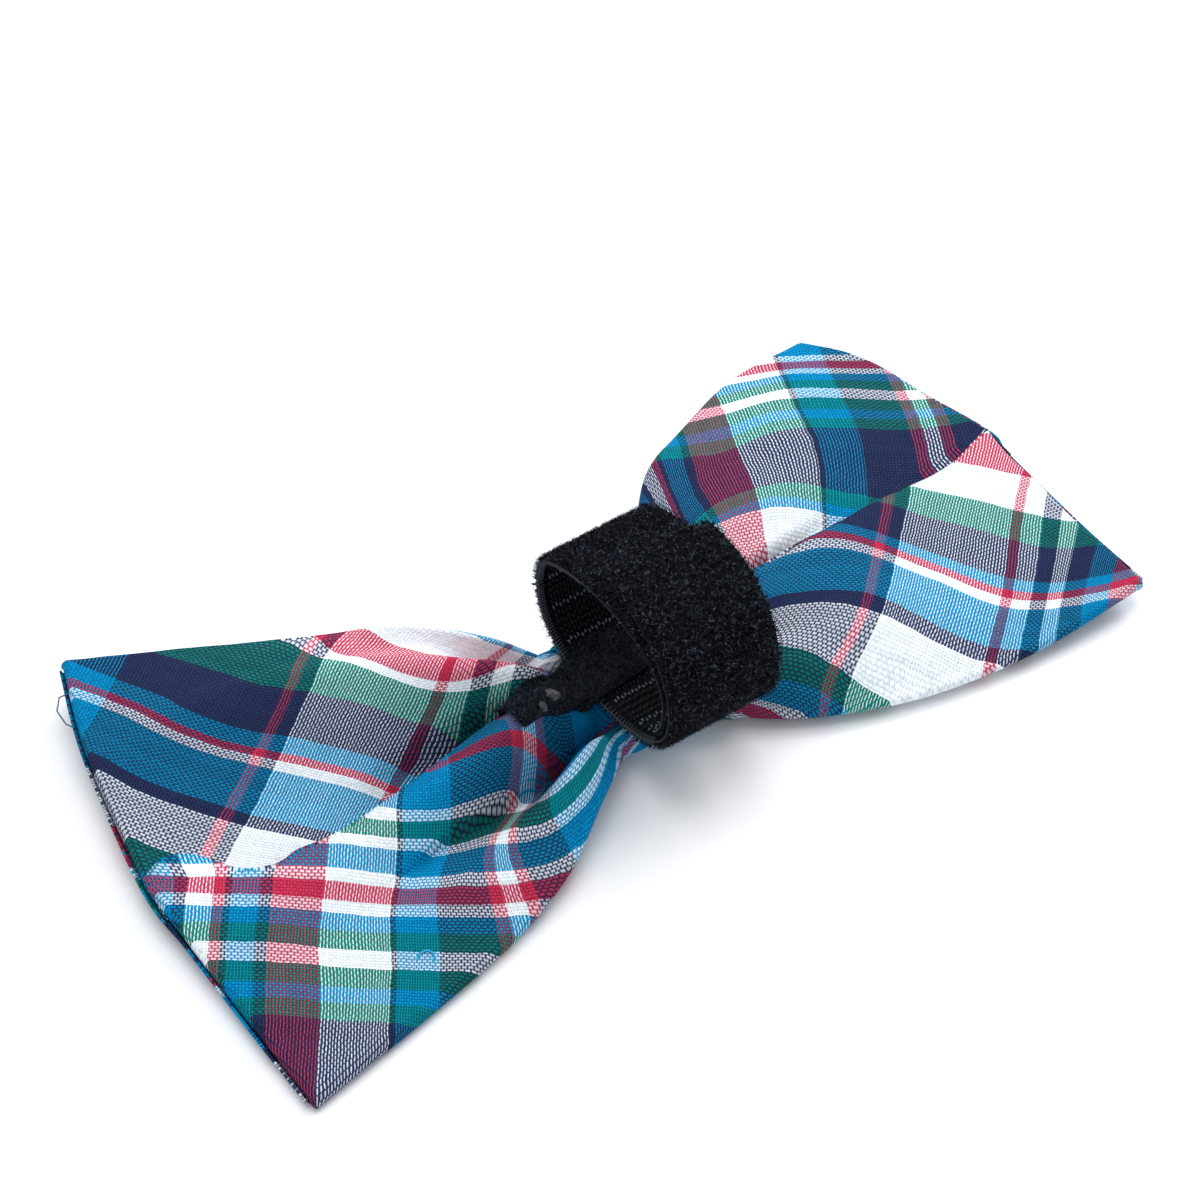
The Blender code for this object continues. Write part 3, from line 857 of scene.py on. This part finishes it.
def strap_length():
    """Running length of the strip at each degree, in steps of one degree."""
    runs = [0.0]
    before = strap_station(LAP_END_DEG)[0]
    for degree in range(1, int(INNER_END_DEG - LAP_END_DEG) + 1):
        here = strap_station(LAP_END_DEG + degree)[0]
        runs.append(runs[-1] + (here - before).length)
        before = here
    return runs


TAPE = 0.6 * MM  # the woven tape under the pile
SELVEDGE = 0.22 * MM  # how far its edge rounds out
HOOK_ROW = 1.15 * MM
HOOKS_IN_ROW = 26
HOOKS_FROM_DEG = 214
BARE_MARGIN = 1.1 * MM  # no hooks stand in it, at each edge


def pile_depth(degrees):
    """Depth of the pile. Under the lap it's crushed, so that the two turns of tape lie close."""
    return (1.05 - 0.80 * smooth_step((degrees - 395) / 45)) * MM


def make_strap(hooks):
    """The tape itself: hook side in, pile side out, with rounded selvedges."""
    runs = strap_length()
    face_steps = 20
    face = [(k / face_steps - 0.5) * STRAP_WIDTH for k in range(face_steps + 1)]
    section = [(x, TAPE / 2) for x in face]
    for side, angles in ((1, (-60, -20, 20, 60)), (-1, (60, 20, -20, -60))):
        for angle in angles:
            turned = math.radians(angle)
            x = side * (STRAP_WIDTH / 2 + SELVEDGE * math.cos(turned))
            section.append((x, -TAPE / 2 * math.sin(turned)))
        if side > 0:
            section += [(x, -TAPE / 2) for x in reversed(face)]
    width = len(section)
    points, tape = [], []
    stations = [LAP_END_DEG + 2.0 * k for k in range(int((INNER_END_DEG - LAP_END_DEG) / 2) + 1)]
    for s, degrees in enumerate(stations):
        middle, outward, _ = strap_station(degrees)
        run = runs[min(int(degrees - LAP_END_DEG), len(runs) - 1)]
        # The tape is pressed thin at its two cut ends.
        end = min(s, len(stations) - 1 - s)
        thin = 0.55 + 0.45 * smooth_step(end / 2)
        for x, rise in section:
            depth = rise * thin - pile_depth(degrees) - TAPE / 2
            points.append(middle + Vector((x, 0, 0)) + outward * depth)
            tape.append((x / MM, run / MM, depth / MM))
    faces = grid_faces(len(stations), width, closed=True, flip=True)
    faces.append(tuple(range(width)))
    faces.append(tuple(range(len(points) - width, len(points)))[::-1])
    add_piece("strap_tape", points, faces, hooks, "strap", "closure_strap", tape=tape)


def make_fibres(name, roots, material, slot, length, width, curl, seed, replaced):
    """Short curled fibres, each a bent three-sided spike. roots is [(point, outward, along)]."""
    chance = random.Random(seed)
    points, faces = [], []
    for spot, outward, along in roots:
        side = outward.cross(along).normalized()
        turn = chance.uniform(0, 6.28)
        lean = (along * math.cos(turn) + side * math.sin(turn)) * curl * chance.uniform(0.3, 1.0)
        reach = length * chance.uniform(0.55, 1.25)
        first = (outward + lean * 0.5).normalized()
        second = (outward * chance.uniform(-0.5, 0.8) + lean * 1.3).normalized()
        middle = spot + first * reach * 0.55
        tip = middle + second * reach * 0.55
        across = first.orthogonal().normalized()
        other = first.cross(across)
        spin = chance.uniform(0, 6.28)
        start = len(points)
        for centre, size in ((spot, width / 2), (middle, width / 2.4)):
            for corner in range(3):
                angle = spin + corner * 2.0944
                points.append(centre + (across * math.cos(angle) + other * math.sin(angle)) * size)
        points.append(tip)
        for corner in range(3):
            after = (corner + 1) % 3
            faces.append((start + corner, start + after, start + 3 + after, start + 3 + corner))
            faces.append((start + 3 + corner, start + 3 + after, start + 6))
        faces.append((start + 2, start + 1, start))
    add_piece(name, points, faces, material, slot, replaced, smooth=False)


TUFT_ROW = 1.15 * MM  # the tufts stand in rows across the tape, this far apart
TUFT_PITCH = 0.9 * MM


def tuft_centre(run, x):
    """The nearest tuft, as (distance along the strip, place across it). They aren't quite regular."""
    row = round(run / TUFT_ROW)
    place = round(x / TUFT_PITCH + 0.5 * (row % 2))
    stray = noise.noise_vector(Vector((row * 3.7, place * 2.3, 6.0)))
    across = (place - 0.5 * (row % 2)) * TUFT_PITCH + stray.x * 0.9 * MM
    return row * TUFT_ROW + stray.y * 0.45 * MM, across


def strap_pile_roots(count, seed):
    """Roots of the pile on the outside of the loop, drawn together into tufts."""
    chance = random.Random(seed)
    runs = strap_length()
    roots = []
    last = LAP_END_DEG + 366.0  # where the lap hides the rest
    while len(roots) < count:
        degrees = chance.uniform(LAP_END_DEG, last)
        x = chance.uniform(-0.5, 0.5) * STRAP_WIDTH
        if chance.random() < 0.08:
            # the margin of the under turn that shows beside the lap
            degrees = chance.uniform(LAP_END_DEG + 352, INNER_END_DEG)
            x = -STRAP_WIDTH / 2 + chance.uniform(0.0, 2.2) ** 0.9 * MM
        place = degrees - LAP_END_DEG
        first, second = int(place), min(int(place) + 1, len(runs) - 1)
        run = runs[first] + (runs[second] - runs[first]) * (place % 1)
        tuft_run, tuft_x = tuft_centre(run, x)
        shift_run, shift_x = (tuft_run - run) * 0.75, (tuft_x - x) * 0.35
        middle, outward, along = strap_station(degrees)
        if abs(shift_run) > 1.0 * MM:
            shift_run = 0.0
        edge = abs(x) / (STRAP_WIDTH / 2)
        if edge > 0.96:
            shift_x = 0.0
        sunk = pile_depth(degrees) + 0.05 * MM
        spot = middle + Vector((x + shift_x, 0, 0)) + along * shift_run - outward * sunk
        toward = Vector((shift_x, 0, 0)) + along * shift_run
        stand = outward + toward * 500 + Vector((math.copysign(max(edge - 0.92, 0) * 9, x), 0, 0))
        roots.append((spot, stand.normalized(), along))
    return roots


def make_hooks(painted_glint, dull):
    """Rows of small stiff hooks on the inside of the loop. Some rows are painted pale grey as a glint and
    the rest keep the hooks' own black.
    """
    chance = random.Random(5)
    runs = strap_length()
    shapes = {"strap_painted_glint_hooks": ([], []), "strap_dull_hooks": ([], [])}
    target = 0.0
    for degree in range(len(runs) - 1):
        if runs[degree] < target:
            continue
        target += HOOK_ROW
        degrees = LAP_END_DEG + degree
        if degrees < HOOKS_FROM_DEG or degrees > INNER_END_DEG - 2:
            continue
        # Every fifth row, and the rows near the two ends, get the painted glint.
        painted_glint_row = round(target / HOOK_ROW) % 5 == 0 or 548 < degrees or degrees < 242
        points, faces = shapes["strap_painted_glint_hooks" if painted_glint_row else "strap_dull_hooks"]
        middle, outward, along = strap_station(degrees)
        inner = middle - outward * (pile_depth(degrees) + TAPE)
        for k in range(HOOKS_IN_ROW):
            x = (k + 0.5) / HOOKS_IN_ROW - 0.5
            spot = inner + Vector((x * (STRAP_WIDTH - 2 * BARE_MARGIN), 0, 0))
            spot += along * chance.uniform(-0.08, 0.08) * MM
            width = 0.07 * MM
            lean = along * (0.12 if k % 2 else -0.12) * MM
            stem = (spot + outward * 0.05 * MM, spot - outward * 0.32 * MM,
                    spot - outward * 0.40 * MM + lean * 1.6, spot - outward * 0.24 * MM + lean * 2.6)
            start = len(points)
            for centre in stem:
                for a, b in ((-1, -1), (1, -1), (1, 1), (-1, 1)):
                    points.append(centre + Vector((a * width, 0, 0)) + along * (b * width))
            for joint in range(3):
                for c in range(4):
                    after = (c + 1) % 4
                    low = start + joint * 4
                    faces.append((low + c, low + after, low + 4 + after, low + 4 + c))
            faces.append((start + 3, start + 2, start + 1, start))
            faces.append((start + 12, start + 13, start + 14, start + 15))
    for name, material in (("strap_painted_glint_hooks", painted_glint), ("strap_dull_hooks", dull)):
        add_piece(name, *shapes[name], material, "strap", "closure_strap", smooth=False)


def tube(path, radius, sides=6):
    """Points and faces of a round thread along a path, with closed ends."""
    points, faces = [], []
    for k, spot in enumerate(path):
        ahead = path[min(k + 1, len(path) - 1)] - path[max(k - 1, 0)]
        across = ahead.orthogonal() if k == 0 else across - across.project(ahead)
        across.normalize()
        other = ahead.normalized().cross(across)
        for n in range(sides):
            angle = 2 * math.pi * n / sides
            points.append(spot + (across * math.cos(angle) + other * math.sin(angle)) * radius)
    faces = grid_faces(len(path), sides, closed=True, flip=True)
    faces.append(tuple(range(sides)))
    faces.append(tuple(range(len(points) - sides, len(points)))[::-1])
    return points, faces


def add_tubes(name, paths, radius, material, slot, replaced=None, sides=6):
    """One piece of several threads."""
    points, faces = [], []
    for path in paths:
        more, shapes = tube(path, radius, sides)
        faces += [tuple(index + len(points) for index in shape) for shape in shapes]
        points += more
    add_piece(name, points, faces, material, slot, replaced)


def make_selvedges(material):
    """The fine woven edges of the tape, and the small stitches over its inner rim."""
    rims, stitches = [], []
    for sign in (-1, 1):
        rim = []
        for k in range(0, 241):
            degrees = LAP_END_DEG + 2 + (INNER_END_DEG - LAP_END_DEG - 4) * k / 240
            middle, outward, _ = strap_station(degrees)
            rim.append(middle + Vector((sign * (STRAP_WIDTH / 2 + 0.10 * MM), 0, 0))
                       - outward * (pile_depth(degrees) + TAPE - 0.12 * MM))
        rims.append(rim)
    for k in range(0, 96):
        degrees = 222.0 + k * 2.2
        middle, outward, along = strap_station(degrees)
        edge = middle + Vector((-STRAP_WIDTH / 2, 0, 0)) - outward * (pile_depth(degrees) + TAPE)
        stitches.append([edge + outward * 0.5 * MM - Vector((0.26 * MM, 0, 0)),
                         edge - outward * 0.05 * MM - Vector((0.16 * MM, 0, 0)),
                         edge - outward * 0.10 * MM + Vector((0.55 * MM, 0, 0)) + along * 0.2 * MM])
    add_tubes("strap_selvedges", rims, 0.10 * MM, material, "strap", "closure_strap")
    add_tubes("strap_edge_stitches", stitches, 0.08 * MM, material, "strap", "closure_strap", sides=5)


# The keeper strip


def back_height(x, y):
    """Height of a wing's back as the part has it, straight from fold line to fold line."""
    side = "left" if x < 0 else "right"
    reach = SIDES[side][1]
    out = max((abs(x) - NECK) / (reach - NECK), 0.0)
    lines = [line_at(side, c, out) for c in range(len(LINES))]
    for first, second in zip(lines, lines[1:]):
        if second[1] <= y <= first[1]:
            share = (y - first[1]) / (second[1] - first[1])
            return first[2] + (second[2] - first[2]) * share
    return 0.0


def loop_floor(y):
    """Height of the lowest part of the loop's inside."""
    half_width = LOOP_WIDTH / 2 - STRAP_THICKNESS
    half_height = LOOP_HEIGHT / 2 - STRAP_THICKNESS
    share = min(abs(y - LOOP_OFFSET) / half_width, 1.0)
    drop = (1 - share**LOOP_SQUARENESS) ** (1 / LOOP_SQUARENESS)
    return KNOT_HEIGHT + GAP + LOOP_HEIGHT / 2 - half_height * drop


def cloth_top(x, y):
    """Height of the left wing's cloth as it's drawn."""
    hit = LEFT_CLOTH[0].ray_cast(Vector((x, y, 0.05)) + WAIST_AT, Vector((0, 0, -1)))[0]
    return hit.z if hit else 0.0


def keeper_spot(x, across):
    """Underside of the strip at a place along the bow and a share of its width (-0.5 to 0.5)."""
    lifted = smooth_step((abs(x) - NECK) / KEEPER_RISE)
    settled = math.copysign(max(abs(x), NECK + KEEPER_RISE), x)
    y = KEEPER_OFFSET + x * math.tan(math.radians(KEEPER_TURN_DEG)) + KEEPER_WIDTH * across
    low = loop_floor(y) + GAP
    high = back_height(settled, y) + 2 * GAP
    level = low + (high - low) * lifted
    if x < -NECK:
        # The strip is stiff, so it lies on the highest of the cloth about it.
        steps = (-0.6, 0, 0.6)
        about = [cloth_top(x + dx * MM, y + dy * MM) for dx in steps for dy in steps]
        level += (max(about) - level) * lifted
    return Vector((x, y, level))


def make_keeper(felt):
    """The strip of brushed felt, with its left end cut unevenly."""
    stations, columns = 90, 24
    points = []
    thickness = 0.8 * MM
    ring = 2 * (columns + 1)
    for s in range(stations + 1):
        share = s / stations
        x = -KEEPER_LEFT + (KEEPER_LEFT + KEEPER_RIGHT) * share
        upper, lower = [], []
        for c in range(columns + 1):
            across = c / columns - 0.5
            cut = 1.1 * MM * noise.noise(Vector((across * 7, 3.0, 1.0))) + 0.5 * MM * noise.noise(
                Vector((across * 23, 5.0, 1.0)))
            fringe = (1 - smooth_step(share / 0.12)) * cut
            wave = 1 + 0.05 * noise.noise(Vector((x * 300, 0, 2.0)))
            spot = keeper_spot(x + fringe, across * wave)
            rim = 1 - abs(2 * across) ** 10
            pucker = noise.noise(spot * 700) * 0.18 * MM
            upper.append(spot + Vector((0, 0, thickness * (0.5 + 0.5 * rim) + pucker)))
            lower.append(spot + Vector((0, 0, 0.15 * MM)))
        points += upper + lower[::-1]
    faces = grid_faces(stations + 1, ring, closed=True, flip=True)
    faces.append(tuple(range(ring)))
    faces.append(tuple(range(len(points) - ring, len(points)))[::-1])
    add_piece("keeper_felt", points, faces, felt, "keeper", "keeper_strip")


def make_glue(material):
    """Two smears of dried glue near the strip's left end."""
    points, faces = [], []
    for x, y, size in ((-14.9, -4.1, 1.0), (-17.0, -5.2, 0.55)):
        rings, around = 6, 18
        start = len(points)
        for r in range(rings + 1):
            for k in range(around):
                angle = 2 * math.pi * k / around
                ragged = 1 + 0.35 * noise.noise(Vector((math.cos(angle) * 1.6, math.sin(angle) * 1.6, x)))
                reach = size * MM * ragged * r / rings
                there = x * MM + reach * math.cos(angle)
                middle = KEEPER_OFFSET + there * math.tan(math.radians(KEEPER_TURN_DEG))
                across = (y * MM + 0.8 * reach * math.sin(angle) - middle) / KEEPER_WIDTH
                at = keeper_spot(there, max(across, -0.49))
                lump = 0.14 * MM * noise.noise(at * 1800)
                thick = (0.24 * MM + lump) * (1 - (r / rings) ** 3)
                points.append(at + Vector((0, 0, 0.82 * MM + thick)))
        faces += [tuple(index + start for index in face)
                  for face in grid_faces(rings + 1, around, closed=True)]
    add_piece("glue_smears", points, faces, material, "keeper")


def make_loose_threads(snag, loose):
    """A snagged loop of yarn on the left wing's near panel, and a loose end at its outer edge."""
    loop = []
    for k in range(15):
        turn = math.radians(-110 + 320 * k / 14)
        x, y = (-45.3 + 1.05 * math.cos(turn)) * MM, (-22.2 + 0.8 * math.sin(turn)) * MM
        loop.append(Vector((x, y, cloth_top(x, y) + (0.5 - 0.45 * abs(k - 7) / 7) * MM)))
    add_tubes("snagged_loop", [loop], 0.15 * MM, snag, "bow_cloth")
    end = [Vector((x * MM, y * MM, z * MM)) for x, y, z in (
        (-60.2, 38.0, 4.6), (-61.6, 38.4, 4.2), (-62.6, 37.4, 3.2),
        (-62.4, 35.6, 2.2), (-61.0, 34.0, 1.4), (-59.6, 33.4, 1.2),
    )]
    add_tubes("loose_end", [end], 0.10 * MM, loose, "bow_cloth")


def keeper_roots(count, seed):
    chance = random.Random(seed)
    roots = []
    for _ in range(count):
        x = chance.uniform(-KEEPER_LEFT, KEEPER_RIGHT)
        across = chance.uniform(-0.5, 0.5)
        if chance.random() < 0.12:
            x = -KEEPER_LEFT + abs(chance.gauss(0, 0.5)) * MM
        spot = keeper_spot(x, across)
        spot.z += 0.7 * MM
        outward = Vector((0, across * 1.2, 1))
        if x < -KEEPER_LEFT + 0.8 * MM:
            outward = Vector((-1.2, across, 0.5))
        roots.append((spot, outward.normalized(), Vector((1, 0, 0))))
    return roots


# Set


def make_stage():
    """A white board, big enough to fill the view from any side."""
    size = 3.0
    corners = [(-size, -size, 0), (size, -size, 0), (size, size, 0), (-size, size, 0)]
    mesh = bpy.data.meshes.new("floor")
    mesh.from_pydata(corners, [], [(0, 1, 2, 3)])
    material, _, shader = new_material("white_matt_board", Roughness=0.9, Specular_IOR_Level=0.1)
    shader.inputs["Base Color"].default_value = linear("#ffffff")
    mesh.materials.append(material)
    floor = bpy.data.objects.new("floor", mesh)
    bpy.context.scene.collection.objects.link(floor)


def aim(name, data, place, target):
    """A light or camera at a place, turned to the target."""
    holder = bpy.data.objects.new(name, data)
    bpy.context.scene.collection.objects.link(holder)
    holder.location = place
    holder.rotation_mode = "QUATERNION"
    holder.rotation_quaternion = (Vector(target) - Vector(place)).to_track_quat("-Z", "Y")
    return holder


def softbox(name, place, size, power):
    light = bpy.data.lights.new(name, "AREA")
    light.shape = "DISK"
    light.size = size
    light.energy = power
    aim(name, light, place, (0, 0, 0))


def make_lights_and_camera():
    scene = bpy.context.scene
    world = bpy.data.worlds.new("white_room")
    scene.world = world
    world.use_nodes = True
    background = world.node_tree.nodes["Background"]
    background.inputs["Color"].default_value = linear("#f6f9ff")
    background.inputs["Strength"].default_value = 0.66
    softbox("overhead_softbox", (0.05, 0.25, 0.80), 0.9, 4.2)
    softbox("side_softbox", (0.66, 0.22, 0.46), 0.45, 3.8)
    camera = bpy.data.cameras.new("camera")
    camera.lens = 75.0
    camera.sensor_width = 36.0
    camera.clip_start = 0.01
    eye = Vector((-0.12763, -0.17331, 0.24042)) + WAIST_AT
    target = Vector((0.00653, 0.01617, 0.0)) + WAIST_AT
    scene.camera = aim("camera", camera, eye, target)
    scene.view_settings.view_transform = "Standard"


def main():
    cotton = {name: plaid_cotton("plaid_cotton_" + name, check) for name, check in CHECKS.items()}
    pile = black_pile("black_loop_pile", "#030508", "#161c26")
    # A paler copy of the pile for a share of the fibres: painted sheen.
    painted_sheen_pile = black_pile("painted_sheen_loop_pile", "#222a36", "#8390a2")
    felt = black_pile("black_brushed_felt", "#0b0f14", "#2a323d")
    lint = black_pile("dusty_felt_fibres", "#1c222a", "#5a6572")
    glue = plain_yarn("dried_clear_glue", "#55585c", roughness=0.45, variation=0.3)
    snag = plain_yarn("snagged_blue_yarn", "#1d9fcb")
    loose = plain_yarn("loose_navy_yarn", "#4d6384")
    hook_ground = hook_tape("black_hook_tape")
    # A pale grey that stands for a glint on the hooks: painted highlight.
    painted_glint_hook_yarn = plain_yarn("painted_glint_nylon_hook", "#6f7984", roughness=0.3, variation=0.95)
    dull_hook_yarn = plain_yarn("black_nylon_hook", "#14171b", roughness=0.5)
    selvedge_yarn = plain_yarn("grey_selvedge_yarn", "#3a434b")
    make_stage()
    make_lights_and_camera()
    panels = make_wing("left", cotton) + make_wing("right", cotton)
    knot = make_knot(cotton)
    make_strap(hook_ground)
    make_hooks(painted_glint_hook_yarn, dull_hook_yarn)
    make_selvedges(selvedge_yarn)
    roots = strap_pile_roots(50000, 11)
    for name, share, yarn, length, width, curl, seed in (
        ("strap_pile_a", roots[:19000], pile, 1.0, 0.10, 1.3, 21),
        ("strap_pile_b", roots[19000:38000], pile, 1.15, 0.085, 1.8, 22),
        ("strap_pile_c", roots[38000:], painted_sheen_pile, 1.15, 0.055, 2.0, 23),
    ):
        make_fibres(name, share, yarn, "strap", length * MM, width * MM, curl, seed, "closure_strap")
    make_keeper(felt)
    make_glue(glue)
    make_loose_threads(snag, loose)
    for name, share, yarn, length, width, curl, seed in (
        ("keeper_fuzz", keeper_roots(7000, 31), felt, 0.8, 0.06, 1.5, 32),
        ("keeper_lint", keeper_roots(900, 33), lint, 1.5, 0.05, 2.6, 34),
    ):
        make_fibres(name, share, yarn, "keeper", length * MM, width * MM, curl, seed, "keeper_strip")


main()
